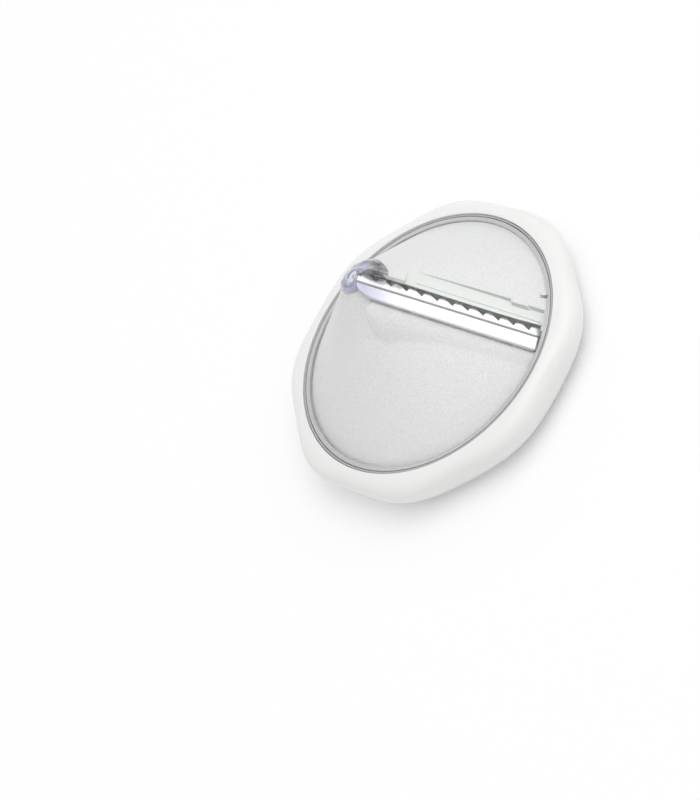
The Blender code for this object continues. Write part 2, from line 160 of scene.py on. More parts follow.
class Graph:
    def __init__(self, tree):
        self.tree = tree
        tree.nodes.clear()

    def add(self, kind, settings=None, sockets=None, output=0):
        # any node: its settings first, then the values or links of its sockets
        node = self.tree.nodes.new(kind)
        for name, value in (settings or {}).items():
            if name == "stops":
                for stop, (position, grey) in zip(node.color_ramp.elements, value):
                    stop.position, stop.color = position, (grey, grey, grey, 1)
            else:
                setattr(node, name, value)
        for key, value in (sockets or {}).items():
            if isinstance(value, Link):
                self.tree.links.new(value.socket, node.inputs[key])
            else:
                node.inputs[key].default_value = value
        return Link(self, node.outputs[output]) if len(node.outputs) else None

    def math(self, operation, first, second):
        return self.add("ShaderNodeMath", {"operation": operation}, {0: first, 1: second})

    def blend(self, factor, first, second):
        # two colours, red, green and blue or a link, mixed by a value
        first, second = (colour if isinstance(colour, Link) else (*colour, 1) for colour in (first, second))
        return self.add("ShaderNodeMix", {"data_type": "RGBA"}, {0: factor, 6: first, 7: second}, 2)

    def noise(self, place, size, detail, roughness=0.5):
        # soft noise from 0 to 1 whose features are about size millimetres across
        sockets = {"Vector": place, "Scale": 1 / (size * mm), "Detail": detail, "Roughness": roughness}
        return self.add("ShaderNodeTexNoise", None, sockets)

    def ramp(self, value, low, high):
        # 0 below the low value, 1 above the high one
        return self.add("ShaderNodeValToRGB", {"stops": [(low, 0.0), (high, 1.0)]}, {"Fac": value})

    def fade(self, value, start, finish):
        # a soft step from 0 to 1 between two places in millimetres
        sockets = {"Value": value, "From Min": start * mm, "From Max": finish * mm}
        return self.add("ShaderNodeMapRange", {"interpolation_type": "SMOOTHSTEP"}, sockets)

    def apart(self, vector, axes):
        # one value for each axis named
        return [self.add("ShaderNodeSeparateXYZ", None, {0: vector}, axis) for axis in axes]

    def place(self):
        # object coordinates, in metres
        return self.add("ShaderNodeTexCoord", None, None, "Object")

    def faceValue(self, name):
        # what the mesh keeps on each face
        return self.add("ShaderNodeAttribute", {"attribute_name": name}, None, "Fac")

    def turned(self, matrix):
        # object coordinates in another frame, whose matrix is in millimetres
        inverse = matrix.inverted()
        shift, turn = inverse.translation * mm, inverse.to_euler()
        sockets = {"Vector": self.place(), "Location": shift, "Rotation": turn}
        return self.add("ShaderNodeMapping", None, sockets)

    def bump(self, height, distance):
        return self.add("ShaderNodeBump", None, {"Height": height, "Distance": distance * mm})

    def finish(self, **sockets):
        # the main shader, its sockets by name with _ for a space
        named = {name.replace("_", " "): value for name, value in sockets.items()}
        shader = self.add("ShaderNodeBsdfPrincipled", None, named)
        self.add("ShaderNodeOutputMaterial", None, {"Surface": shader})


def newFinish(name):
    made = bpy.data.materials.new(name)
    made.use_nodes = True
    return made, Graph(made.node_tree)


# Grip ring: a superellipse section whose reach swells with eight lobes

grip = {
    "lipRadius": 40.0, "depth": 12.0, "shoulder": 4.2, "overhang": 5.6, "backReach": 8.05,
    "topPower": 2.3, "backPower": 1.5, "lobes": 8, "lobeHeight": 0.85, "lobeTurn": -2.0,
    "bore": 42.0, "lipThickness": 1.55, "lipRound": 0.3, "lipTurn": 96.0, "crestTurn": 3.0,
    "parting": 1.3, "partingGap": 0.2, "edgeRound": 0.15,
    "snapZ": 2.4, "snapDepth": 0.35, "snapHalf": 0.4,
    "coverBore": 38.5, "coverWall": 1.8, "coverChamfer": 0.55, "coverTop": 6.4, "spigotTop": 3.4,
    "around": 512, "shellSteps": 64, "coverSteps": 16, "lipSteps": 7,
}
widestZ = grip["depth"] - grip["shoulder"]


def gripOutside(angle, turn):
    # z = widest + span cos t, r = lip + reach (1 - |cos t|^p)^(1/p), reach = overhang + lobe cos 8a;
    # the back's power is lower, so that the ring draws in towards its back
    lobe = np.cos(grip["lobes"] * (angle - math.radians(grip["lobeTurn"])))
    reach = grip["overhang"] + grip["lobeHeight"] * lobe[:, None]
    span = np.where(turn < np.pi / 2, grip["shoulder"], grip["backReach"])
    power = np.where(turn < np.pi / 2, grip["topPower"], grip["backPower"])
    out = (1 - np.abs(np.cos(turn)) ** power) ** (1 / power)
    return np.broadcast_arrays(grip["lipRadius"] + reach * out, widestZ + span * np.cos(turn))


def turnAt(z):
    # the section's turn at a height
    return math.acos((z - widestZ) / (grip["shoulder"] if z > widestZ else grip["backReach"]))


def gripPiece(name, angle, outside, inside):
    # inside is one (r, z) outline that is the same all round
    r = np.hstack([outside[0], np.tile(inside[:, 0], (len(angle), 1))])
    z = np.hstack([outside[1], np.tile(inside[:, 1], (len(angle), 1))])
    item = revolve(name, r, z, angle)
    shade(item)
    return item


def gripShell(finish):
    # from the lip's crest down the outside, back up the bore past the snap groove, and round the lip
    g = grip
    angle = np.linspace(0, 2 * np.pi, g["around"], endpoint=False)
    b, s, e = g["bore"], g["snapZ"], g["edgeRound"]
    low = g["parting"] + g["partingGap"] / 2
    under = g["depth"] - g["lipThickness"]
    r, z = gripOutside(angle, np.linspace(math.radians(g["crestTurn"]), turnAt(low + e), g["shellSteps"]))
    r, z = (np.hstack([grid, grid[:, -1:] - e]) for grid in (r, z))
    inside = [(b + e, low), (b, low + e), (b, s - g["snapHalf"]), (b + g["snapDepth"], s)]
    inside += [(b, s + g["snapHalf"]), (b, under - e), (b - e, under), (g["lipRadius"] + e, under)]
    inside += [(g["lipRadius"], under + e)]
    centre = (g["lipRadius"] + g["lipRound"], g["depth"] - g["lipRound"])
    lip = arc(centre, g["lipRound"], 180, g["lipTurn"], g["lipSteps"])
    item = gripPiece("gripShell", angle, (r, z), np.vstack([inside, lip]))
    dress(item, "grip_ring", finish)


def gripCover(finish):
    # from the parting line down the outside, in along the rest face, and up round the wall and the spigot
    g = grip
    angle = np.linspace(0, 2 * np.pi, g["around"], endpoint=False)
    c, s, e = g["coverBore"], g["snapZ"], g["edgeRound"]
    top = g["parting"] - g["partingGap"] / 2
    spigot = g["bore"] - g["partingGap"]
    wall = c + g["coverWall"]
    r, z = gripOutside(angle, np.linspace(turnAt(top - e), turnAt(e), g["coverSteps"]))
    r = np.hstack([r[:, :1] - e, r, r[:, -1:] - e])
    z = np.hstack([z[:, :1] + e, z, z[:, -1:] - e])
    inside = [(c + g["coverChamfer"], 0), (c, g["coverChamfer"]), (c, g["coverTop"] - e)]
    inside += [(c + e, g["coverTop"]), (wall - e, g["coverTop"]), (wall, g["coverTop"] - e)]
    inside += [(wall, g["spigotTop"])]
    inside += [(spigot - e, g["spigotTop"]), (spigot, g["spigotTop"] - e), (spigot, s + g["snapHalf"])]
    inside += [(spigot + g["snapDepth"], s), (spigot, s - g["snapHalf"]), (spigot, top)]
    item = gripPiece("gripCover", angle, (r, z), np.array(inside))
    dress(item, "grip_back_cover", finish)


# Seal ring: an upright lip with a foot under the shell

seal = {
    "inner": 39.3, "outer": 39.85, "foot": 41.5, "low": 9.6, "footTop": 10.25, "top": 11.7,
    "round": 0.14, "around": 360, "roundSteps": 5,
}


def sealBand(finish):
    s = seal
    e = s["round"]
    crown = arc((s["outer"] - e, s["top"] - e), e, 0, 90, s["roundSteps"])
    crownIn = arc((s["inner"] + e, s["top"] - e), e, 90, 180, s["roundSteps"])
    foot = [(s["inner"], s["low"]), (s["foot"], s["low"])]
    foot += [(s["foot"], s["footTop"]), (s["outer"], s["footTop"])]
    radius, height = np.vstack([foot, crown, crownIn]).T
    item = revolve("sealBand", radius, height, np.linspace(0, 2 * np.pi, s["around"], endpoint=False))
    shade(item)
    dress(item, "seal_ring", finish)


# Cone: the wall winds down by its climb in a turn, and steps back at the blade's line. Its half angle is
# 45 degrees, so a depth square to the wall is root 2 times as much in height

cone = {
    "radius": 37.9, "topZ": 11.5, "wall": 1.5, "climb": 1.3, "rampHalf": 2.0, "azimuth": -7.6,
    "rimZ": 11.7, "rimOuter": 39.1, "rimRound": 0.12,
    "flange": 41.5, "flangeTop": 9.4, "flangeLow": 6.6,
    "around": 540, "down": 60, "roundSteps": 4,
}
hub = {
    "radius": 8.0, "endRadius": 3.6, "windStart": 0.25, "windEnd": 0.8, "overhang": 1.2, "edge": 1.0,
    "tipZ": 47.0, "facets": 12, "dimple": 0.35, "gap": 0.2, "crease": 9,
    "edgeRound": 0.16, "roundShares": [(0, 1), (0.3, 0.3), (1, 0)],  # of the rounding: back, down
    "crown": [(0.86, 0.27), (0.56, 0.64), (0.28, 0.90)],  # shares out to the brim, up to the tip
    "fine": 12,  # steps in a facet
}


def turnShare(angle):
    # 0 to 1 once round from the ledge, with a quick step back within the ramp
    turn = (np.degrees(angle) - cone["azimuth"]) % 360
    ramp = cone["rampHalf"]
    turn = np.where(turn > 360 - ramp, turn - 360, turn)
    return np.where(turn < ramp, 0.5 - 0.5 * turn / ramp, (turn - ramp) / (360 - 2 * ramp))


def wallZ(radius, angle, depth=0.0):
    # the outer surface: z = top + (R - r) - rise share, less the depth measured square to the wall
    rise = cone["climb"] * root2
    return cone["topZ"] + cone["radius"] - radius - rise * turnShare(angle) - depth * root2


def hubRadius(angle):
    # wide on the ledge's side, then a cosine step down as it winds in behind the blade
    wound = np.clip((turnShare(angle) - hub["windStart"]) / (hub["windEnd"] - hub["windStart"]), 0, 1)
    return hub["endRadius"] + (hub["radius"] - hub["endRadius"]) * (0.5 + 0.5 * np.cos(np.pi * wound))


def helixAngles(steps):
    # even angles, with both sides of the step back close to the blade's line
    start, ramp = math.radians(cone["azimuth"]), math.radians(cone["rampHalf"])
    return np.linspace(start + ramp, start + 2 * math.pi - ramp, steps)


# Blade and what is cut for it

blade = {
    "tilt": 12.0, "outerGap": 2.4, "innerGap": 0.6, "lead": 1.9, "lift": 0.1, "gap": 0.2,
    "width": 7.1, "thickness": 0.5, "edge": 0.12, "bevel": 2.4, "edgeRound": 0.04, "rearRound": 0.01,
    "pitch": 4.2, "depth": 1.42, "tab": 3.6, "tabLead": 0.4, "tabRun": 0.35,
    "teeth": [  # shares of the pitch along and of the depth out
        (0, 0), (0.06, 0.1), (0.2, 0.34), (0.39, 0.7), (0.5, 0.93), (0.57, 1), (0.73, 1), (0.85, 0.93),
        (0.93, 0.7), (0.975, 0.3), (1, 0),
    ],
    "endLength": 6.5, "endSteps": 40, "stripSteps": 900, "stripCrease": 12,
}
spine = {
    "outer": 3.4, "inner": 3.9, "rear": 7.6, "height": 0.9, "setback": 1.2, "round": 0.13,
    "chamfer": 0.4, "chamferFall": 0.6, "rearRound": 0.02, "steps": 200, "roundSteps": 5, "crease": 25,
}
bed = {
    "overhang": 2.9, "margin": 0.2, "short": 0.3, "fall": 0.16, "blend": 0.35,
    "front": 0.2, "kept": 6.0, "fadeFrom": 4.0, "fadeRun": 4.0,
}
ledge = {
    "throatOuter": 0.9, "throatMiddle": 0.3, "throatInner": 0.4, "middle": 26.0,
    "tabOuter": 0.15, "tabInner": 2.0, "tabTop": 2.1,
    "width": 4.75, "depth": 1.35, "riser": 0.9, "facet": 0.3, "facetDrop": 0.1, "setback": 1.2,
    "stepFrom": 5.9, "stepTo": 10.6, "stepBack": 0.9, "outerStep": 0.45, "stepHalf": 0.05,
    "grooveFrom": 0.45, "grooveTo": 0.75, "grooveDepth": 0.22, "grooveFlare": 0.1, "grooveTop": 1.0,
    "grooveStart": 0.3, "grooveStop": 3.0,
    "notchAngle": 17.0, "notchWidth": 1.1, "notchLength": 1.3, "notchPast": 0.6,
    "pocketSteps": 40,
}
pins = {
    "shank": 0.8, "head": 1.3, "headHeight": 0.4, "depth": 1.2, "bite": 0.35, "back": 5.6, "core": 0.02,
    "round": 0.1, "roundShares": [(2, 0), (0.6, 0.4), (0, 1.6)],  # of the rounding: in, up
    "sides": 48, "cutSides": 64,
    "places": [("pinOuter", "blade_pin_outer", 0.16), ("pinInner", "blade_pin_inner", 0.71)],
}
bladeLength = cone["radius"] * root2 - blade["outerGap"] - blade["innerGap"]
cutReach = 12.0  # how far cutting shapes run past the wall

# the blade's line runs up the cone: x ahead of the blade, y along it towards the tip, z out of the wall
lineAxes = Matrix(((0, 1, 0), (-1 / root2, 0, 1 / root2), (1 / root2, 0, 1 / root2)))
cuttingZ = cone["topZ"] - (cone["climb"] + cone["wall"]) * root2
lineFrame = Matrix.Rotation(math.radians(cone["azimuth"]), 4, "Z")
lineFrame = lineFrame @ Matrix.Translation((cone["radius"], 0, cuttingZ))
lineFrame = lineFrame @ lineAxes.transposed().to_4x4()
planeFrame = lineFrame @ Matrix.Translation((blade["lead"], blade["outerGap"], blade["lift"]))
planeFrame = planeFrame @ Matrix.Rotation(math.radians(blade["tilt"]), 4, "Y")


def roundedRear(y, width, start):
    # the rear edge's x: straight, then a quarter ellipse in to the start at the inner end
    into = np.clip((y - (bladeLength - blade["endLength"])) / blade["endLength"], 0, 1)
    return -start - (width - start) * np.sqrt(1 - into ** 2)


def stations(first, count):
    # places along the blade, closer together towards its rounded end
    last = bladeLength - blade["endLength"]
    straight = np.linspace(first, last, count, endpoint=False)
    end = np.sin(np.linspace(0, np.pi / 2, blade["endSteps"]))
    return np.append(straight, last + blade["endLength"] * end)


def bladeLoft(name, x, y, z):
    # a section of (x, z) corners for each y, in the blade's own frame
    return loft(name, placed(np.stack(np.broadcast_arrays(x, y[:, None], z), -1), planeFrame))


def toothedStrip(finish, holes):
    # a section per station: flat above, and ground away below from a straight crease to the toothed edge;
    # the plain tab leads at its outer end, and drops to the first notch over a short run
    b = blade
    y = stations(0, b["stripSteps"])
    share = ((y - b["tab"]) / b["pitch"]) % 1
    teeth = b["depth"] * (np.interp(share, *np.array(b["teeth"]).T) - 1)
    drop = b["depth"] * np.clip((y - b["tab"] + b["tabRun"]) / b["tabRun"], 0, 1)
    front = np.where(y < b["tab"], b["tabLead"] * (1 - y / b["tab"]) - drop, teeth)
    rear = roundedRear(y, b["width"], b["bevel"] + b["rearRound"])
    crease = np.full_like(y, -b["bevel"])
    low, high, e = b["thickness"] - b["edge"], b["thickness"], b["edgeRound"]
    x = np.stack([front - e, front, front - e, rear + e, rear, rear, rear + e, crease], -1)
    z = np.array([low, (low + high) / 2, high, high, high - e, e, 0, 0])
    item = bladeLoft("toothedStrip", x, y, z)
    carve(item, holes)
    shade(item, b["stripCrease"])
    dress(item, "serrated_blade", finish)


def spineBar(finish, holes):
    # a flat bar that tapers a little, chamfered in front and rounded at the rear; its inner end is a
    # quarter ellipse
    s = spine
    y = stations(s["setback"], s["steps"])
    front = -np.interp(y, [s["setback"], bladeLength], [s["outer"], s["inner"]])[:, None]
    rear = roundedRear(y, s["rear"], s["inner"] + s["rearRound"])[:, None]
    low = blade["thickness"] + blade["gap"]
    high = low + s["height"]
    turn = np.radians(np.linspace(0, 90, s["roundSteps"]))
    # neither the rounding nor the chamfer takes more than a third of the width
    e, f = (np.minimum(size, (front - rear) / 3) for size in (s["round"], s["chamfer"]))
    x = np.hstack([front, front - f, rear + e - e * np.sin(turn), rear, front])
    under = np.full((len(y), 2), low)
    z = np.hstack([high - s["chamferFall"] * f, np.full_like(f, high), high - e + e * np.cos(turn), under])
    item = bladeLoft("spineBar", x, y, z)
    carve(item, holes)
    shade(item, s["crease"])
    dress(item, "blade_spine", finish)


def pinPiece(name, node, share, finish):
    # a turned pin: flush rounded head below, shank up into the spine
    p = pins
    e, foot = p["round"], -p["depth"]
    top = blade["thickness"] + blade["gap"] + p["bite"]
    neck = foot + p["headHeight"]
    edge = [(p["head"] - back * e, foot + up * e) for back, up in p["roundShares"]]
    shank = [(p["head"], neck), (p["shank"], neck), (p["shank"], top), (p["core"], top)]
    outline = [(p["core"], foot), *edge, *shank]
    r, z = np.array(outline).T
    turn = np.linspace(0, 2 * np.pi, p["sides"], endpoint=False)[:, None]
    x, y = r * np.cos(turn) - p["back"], r * np.sin(turn) + share * bladeLength
    points = placed(np.stack(np.broadcast_arrays(x, y, z), -1), planeFrame)
    item = addPiece(name, points, gridFaces(*x.shape))
    shade(item)
    dress(item, node, finish)


def station(corners, y, upright):
    # a section at a place on the blade's line, square to the wall, or standing upright in the world
    return [(x, y + z * upright, z) for x, z in corners]


def slotCut():
    # the slot narrows inwards from the rim and is upright at its outer end
    b, l = blade, ledge
    bedEdge = b["lead"] - bed["overhang"] * math.cos(math.radians(b["tilt"]))
    widths = [
        (b["outerGap"] - 2 * b["gap"], l["throatOuter"], 1),
        (l["middle"], l["throatMiddle"], 0),
        (b["outerGap"] + bladeLength + b["gap"], l["throatInner"], 0),
    ]
    sections = []
    for y, width, upright in widths:
        sections.append(station(rectangle(bedEdge, b["lead"] + width, -cutReach, cutReach), y, upright))
    return loft("slot", placed(np.array(sections), lineFrame))


def landCut(landZ, landInner):
    # the ledge's flat land ends in a riser and a facet, and its far edge is set back over two lengths
    # next to the rim
    b, l = blade, ledge
    wallTop = cone["wall"] + cone["climb"]
    half = l["stepHalf"]
    places = [
        (l["setback"], l["outerStep"]), (l["stepFrom"] - half, l["outerStep"]), (l["stepFrom"] + half, 1),
        (l["stepTo"] - half, 1), (l["stepTo"] + half, 0), (landInner, 0),
    ]
    sections = []
    for y, stepped in places:
        edge = b["lead"] + l["width"] - stepped * l["stepBack"]
        top = edge + l["riser"]
        crest = top + l["facet"]
        corners = [(b["lead"], landZ), (edge, landZ), (top, wallTop - l["facetDrop"]), (crest, wallTop)]
        corners += [(crest, cutReach), (b["lead"], cutReach)]
        sections.append(station(corners, y, y < landInner))
    return loft("land", placed(np.array(sections), lineFrame))


def grooveCut(landZ, landInner):
    # a fine groove along the land, a little wider at its top
    l = ledge
    near = blade["lead"] + l["throatOuter"]
    left, right, flare = near + l["grooveFrom"], near + l["grooveTo"], l["grooveFlare"]
    low, high = landZ - l["grooveDepth"], landZ + l["grooveTop"]
    corners = [(left, low), (right, low), (right + flare, high), (left - flare, high)]
    start, stop = l["setback"] + landZ + l["grooveStart"], landInner - l["grooveStop"]
    return prism("groove", corners, start, stop, lineFrame)


def pocketCut():
    # room over the bed for strip and spine, with the spine's rounded rear
    b, l, g = blade, ledge, blade["gap"]
    outer = spine["setback"] - g
    y = stations(outer, l["pocketSteps"])
    rear = roundedRear(y, spine["rear"] + g, spine["outer"])
    y[-1] += g
    side = l["throatInner"] / 2
    outline = [(side, outer), (side, bladeLength + g), *zip(rear[::-1], y[::-1])]
    return prism("pocket", outline, -g, cutReach, planeFrame, axis=2)


def openings():
    # the cutting shapes, each named for what it leaves; all but the notch in the blade's own frames
    b, l, g = blade, ledge, blade["gap"]
    landZ = cone["wall"] + cone["climb"] - l["depth"]
    landInner = (cone["radius"] - hub["radius"]) * root2 - l["depth"]
    end = rectangle(-b["width"] - g, b["tabLead"] + g, -g, b["thickness"] + g)
    tab = rectangle(-spine["outer"] - g, l["throatInner"], l["tabOuter"], l["tabInner"])
    half, edge = l["notchWidth"] / 2, cone["radius"]
    notch = rectangle(edge - l["notchLength"], edge + l["notchPast"], -half, half)
    notchFrame = Matrix.Rotation(math.radians(cone["azimuth"] + l["notchAngle"]), 4, "Z")
    return {
        "endPocket": prism("endPocket", end, -g, spine["setback"], planeFrame),
        "land": landCut(landZ, landInner),
        "groove": grooveCut(landZ, landInner),
        "notch": prism("notch", notch, 0, 2 * cutReach, notchFrame, axis=2),
        "slot": slotCut(),
        "pocket": pocketCut(),
        "tabPocket": prism("tabPocket", tab, -g, l["tabTop"], planeFrame, axis=2),
    }


def pinCuts(radius, top):
    # a round hole with a gap round each pin, up to a height in the blade's own frame
    cuts = []
    for name, _, share in pins["places"]:
        centre = (-pins["back"], share * bladeLength)
        circle = arc(centre, radius + blade["gap"], 0, 360, pins["cutSides"] + 1)[:-1]
        cuts.append(prism(name + "Cut", circle, -cutReach, top, planeFrame, axis=2))
    return cuts


def outerHeight(x, y):
    # the wall's outer surface over a place in plan. Beside the blade it swells into a bed: the blade's own
    # plane inside an outline, falling off with the square of the distance outside it, and the two heights
    # meet in a soft maximum, (a + b + sqrt((a - b)^2 + s^2)) / 2
    radius, angle = np.hypot(x, y), np.arctan2(y, x)
    wall = wallZ(radius, angle)
    m = np.asarray(planeFrame)
    out, origin = m[:3, 2], m[:3, 3]
    plane = origin[2] - (out[0] * (x - origin[0]) + out[1] * (y - origin[1])) / out[2]
    local = np.stack([x, y, plane], -1) - origin
    across, along = local @ m[:3, 0], local @ m[:3, 1]
    behind = np.maximum(0, -across - blade["width"] - bed["margin"])
    inward = np.maximum(0, along - bladeLength + blade["endLength"] - bed["short"])
    outside = np.maximum(0, -along)
    pad = plane - (behind ** 2 + inward ** 2 + outside ** 2) * bed["fall"]
    soft = 0.5 * (wall + pad + np.sqrt((wall - pad) ** 2 + bed["blend"] ** 2))
    share = np.clip((radius - bed["fadeFrom"]) / bed["fadeRun"], 0, 1)  # no swelling under the hub
    share = np.maximum(share, across > -bed["kept"])  # apart from right under the blade
    return np.where(across < bed["front"], wall + (soft - wall) * share, wall)


# Cone wall's faces: how close to a surface, in millimetres, and how square to it a face has to be

faceTests = {
    "onWall": 0.03, "onRound": 0.02, "upright": 0.02, "radial": 0.9998, "upwards": 0.2,
    "under": (-0.8, -0.6), "riser": (-0.95, -0.6), "slopeStep": 0.05, "polishFrom": -1.4, "rimBand": 0.1,
}


def fromMesh(collection, field, kind, width):
    # one field of all faces, corners or points as an array
    values = np.empty(len(collection) * width, kind)
    collection.foreach_get(field, values)
    return values.reshape(-1, width) if width > 1 else values


def surfaceNormals(item):
    # where a face lies on the wound wall, the corners get the wall's own normal, so no long face shows;
    # where it lies on an upright round face, the normal points straight out or in; others stay flat
    mesh, t = item.data, faceTests
    centre = fromMesh(mesh.polygons, "center", float, 3) / mm
    flat = fromMesh(mesh.polygons, "normal", float, 3)
    corner = fromMesh(mesh.loops, "vertex_index", int, 1)
    x, y = fromMesh(mesh.vertices, "co", float, 3)[corner, :2].T / mm
    faceOf = np.repeat(np.arange(len(flat)), fromMesh(mesh.polygons, "loop_total", int, 1))

    r, a = np.hypot(centre[:, 0], centre[:, 1]), np.arctan2(centre[:, 1], centre[:, 0])
    lean = flat[:, 2]
    outer = np.abs(centre[:, 2] - outerHeight(centre[:, 0], centre[:, 1])) < t["onWall"]
    outer &= lean > t["upwards"]
    inner = np.abs(centre[:, 2] - wallZ(r, a, cone["wall"])) < t["onWall"]
    inner &= (lean > t["under"][0]) & (lean < t["under"][1])
    upright = np.abs(flat[:, 0] * np.cos(a) + flat[:, 1] * np.sin(a)) > t["radial"]
    upright &= np.abs(lean) < t["upright"]
    rounds = [cone["radius"], cone["rimOuter"], cone["flange"], grip["coverBore"]]
    upright &= np.min(np.abs(r[:, None] - rounds), 1) < t["onRound"]

    h = t["slopeStep"]
    slopes = [outerHeight(x - h, y) - outerHeight(x + h, y), outerHeight(x, y - h) - outerHeight(x, y + h)]
    away = np.stack([*slopes, np.full_like(x, 2 * h)], -1)
    away /= np.linalg.norm(away, axis=1, keepdims=True)
    aa = np.arctan2(y, x)
    within = np.stack([-np.cos(aa), -np.sin(aa), -np.ones_like(aa)], -1) / root2
    side = np.stack([np.cos(aa), np.sin(aa), np.zeros_like(aa)], -1)
    side *= np.sign(np.sum(side * flat[faceOf], 1, keepdims=True))
    normals = flat[faceOf].copy()
    for found, wanted in ((outer, away), (inner, within), (upright, side)):
        normals[found[faceOf]] = wanted[found[faceOf]]
    mesh.shade_smooth()
    mesh.normals_split_custom_set(normals.tolist())

    # the ledge, the slot and the rim are polished, and both sides of the wall are frosted;
    # the rim and the ledge's steep riser get a painted shade, greyer than its flat land
    ahead = placed(centre, lineFrame.inverted())[:, 0]
    rim = r > cone["radius"] - t["rimBand"]
    polished = ~outer & ~inner & ((ahead > t["polishFrom"]) | rim)
    leaning = flat @ np.asarray(lineFrame)[:3, 0]
    riser = (leaning > t["riser"][0]) & (leaning < t["riser"][1])
    riser &= ahead > blade["lead"] + ledge["width"] - 2 * ledge["stepBack"]
    for name, values in (("polish", polished), ("paintedShade", riser | rim)):
        field = mesh.attributes.new(name, "FLOAT", "FACE")
        field.data.foreach_set("value", values.astype(np.float32))


def coneWall(finish, cuts):
    # the section at each angle: out along the inside, round flange and rim, and up the outside
    c = cone
    angle = helixAngles(c["around"])[:, None]
    hole = hubRadius(angle) - hub["overhang"]
    bore = np.full_like(angle, grip["coverBore"])
    e = c["rimRound"]
    flange = [(grip["coverBore"], c["flangeLow"]), (c["flange"], c["flangeLow"])]
    flange += [(c["flange"], c["flangeTop"]), (c["rimOuter"], c["flangeTop"])]
    rimOut = arc((c["rimOuter"] - e, c["rimZ"] - e), e, 0, 90, c["roundSteps"])
    rimIn = arc((c["radius"] + e, c["rimZ"] - e), e, 90, 180, c["roundSteps"])
    fixed = np.vstack([flange, rimOut, rimIn])
    slope = c["radius"] + (hole - c["radius"]) * np.linspace(0, 1, c["down"])
    slopeZ = outerHeight(slope * np.cos(angle), slope * np.sin(angle))
    one = np.ones_like(angle)
    inside = np.hstack([hole, bore])
    radius = np.hstack([inside, fixed[:, 0] * one, slope])
    height = np.hstack([wallZ(inside, angle, c["wall"]), fixed[:, 1] * one, slopeZ])
    item = revolve("coneWall", radius, height, angle[:, 0])
    carve(item, cuts)
    surfaceNormals(item)
    dress(item, "cutting_cone", finish)


def hubGem(finish, cuts):
    # plug in the wall's hole, round brim on the wall, then flat facets: each crown ring is straight
    # between its corners, and the rings climb from the brim's edge to the tip
    h = hub
    steps = h["facets"] * h["fine"]
    angle = helixAngles(steps + 1)
    brim = hubRadius(angle)
    brimZ = wallZ(brim, angle) + h["gap"]
    edgeZ = brimZ + h["edge"]
    plug = brim - h["overhang"] - h["gap"]
    dimple = plug * h["dimple"]
    outline = [(dimple, wallZ(dimple, angle, cone["wall"])), (plug, wallZ(plug, angle, cone["wall"]))]
    outline += [(plug, wallZ(plug, angle) + h["gap"]), (brim, brimZ)]
    e = h["edgeRound"]
    outline += [(brim - back * e, edgeZ - down * e) for back, down in h["roundShares"]]
    rings = [np.stack([r * np.cos(angle), r * np.sin(angle), z], -1) for r, z in outline]
    every = np.arange(steps + 1)
    cornersAt = every[::h["fine"]]
    for out, up in h["crown"]:
        r, z = brim * out, edgeZ + (h["tipZ"] - edgeZ) * up
        ring = [r * np.cos(angle), r * np.sin(angle), z]
        rings.append(np.stack([np.interp(every, cornersAt, part[cornersAt]) for part in ring], -1))
    rings = np.stack(rings, 1)
    rows, columns = rings.shape[:2]

    # fans close the first and last columns on two points of the axis
    low, high = rows * columns, rows * columns + 1
    here = np.arange(rows) * columns
    there = np.roll(here, -1)
    faces = gridFaces(rows, columns, wrapped=False)
    faces += np.stack([np.full(rows, low), there, here], -1).tolist()
    faces += np.stack([np.full(rows, high), here + columns - 1, there + columns - 1], -1).tolist()
    tips = [(0, 0, float(wallZ(0.0, angle[-1], cone["wall"]))), (0, 0, h["tipZ"])]
    item = addPiece("hubGem", np.vstack([rings.reshape(-1, 3), tips]), faces)
    carve(item, cuts)
    shade(item, h["crease"])
    dress(item, "hub_cap", finish)


# Finishes: a pattern's size is in millimetres, and two colours are red, green and blue at its ends

whiteLook = {
    "colours": [(0.79, 0.793, 0.783), (0.83, 0.831, 0.822)], "cloud": 16, "rub": 9,
    "roughness": 0.22, "rubbed": 0.08, "ior": 1.5,
}
frostedLook = {
    "dusted": [(0.87, 0.875, 0.88), (1.0, 1.0, 1.0)], "speck": 0.5, "speckEnds": (0.35, 0.65),
    "polishedAndShade": [(0.96, 1.0, 0.96), (0.70, 0.71, 0.71)],  # the ledge is greenish, and the rim and the riser a painted shade of grey
    "fineGrain": 0.2, "grain": 0.42, "grainShare": 0.8, "grainHeight": 0.06, "cloud": 9,
    "polished": 0.06, "dull": 0.36, "duller": 0.08, "ior": 1.49, "clear": 0.32,
}
clearLook = {
    "cool": [(0.74, 0.77, 0.95), (0.92, 0.91, 0.98)], "cast": 4,
    "grey": [(0.46, 0.46, 0.47), (0.92, 0.92, 0.94)], "spokes": 0.16, "spokeEnds": (0.42, 0.58),
    "greyFrom": 1.3, "greyTo": 2.3,  # the painted shade, from the blade's inner end outwards
    "marks": 0.9, "markEnds": (0.5, 0.75), "roughness": 0.03, "marked": 0.05, "ior": 1.49, "clear": 0.85,
}
steelLook = {
    "colours": [(0.83, 0.83, 0.84), (0.88, 0.88, 0.885)], "cloud": 7, "lined": 0.08, "lineHeight": 0.0025,
    "cast": (0.49, 0.49, 0.61), "paintedReflectionFrom": 36.0, "paintedReflectionTo": 50.0,  # painted cool reflection and shade towards the inner end, between these places along the blade
    "paintedShadow": (0.16, 0.16, 0.18), "paintedShadowFrom": 1.35, "paintedShadowTo": 1.05,  # painted shadow just ahead of the spine, where the strip goes in under it
}
rubberLook = {
    "colours": [(0.36, 0.36, 0.365), (0.46, 0.46, 0.46)], "speck": 0.5,
    "roughness": 0.5, "rough": 0.15, "speckHeight": 0.01,
}


def whitePlastic():
    # glossy moulded plastic: faint cloudiness and a few rubbed places
    made, g = newFinish("whitePlastic")
    look, place = whiteLook, g.place()
    colour = g.blend(g.noise(place, look["cloud"], detail=3), *look["colours"])
    rub = g.noise(place, look["rub"], detail=2)
    g.finish(Base_Color=colour, Roughness=look["roughness"] + look["rubbed"] * rub, IOR=look["ior"])
    return made


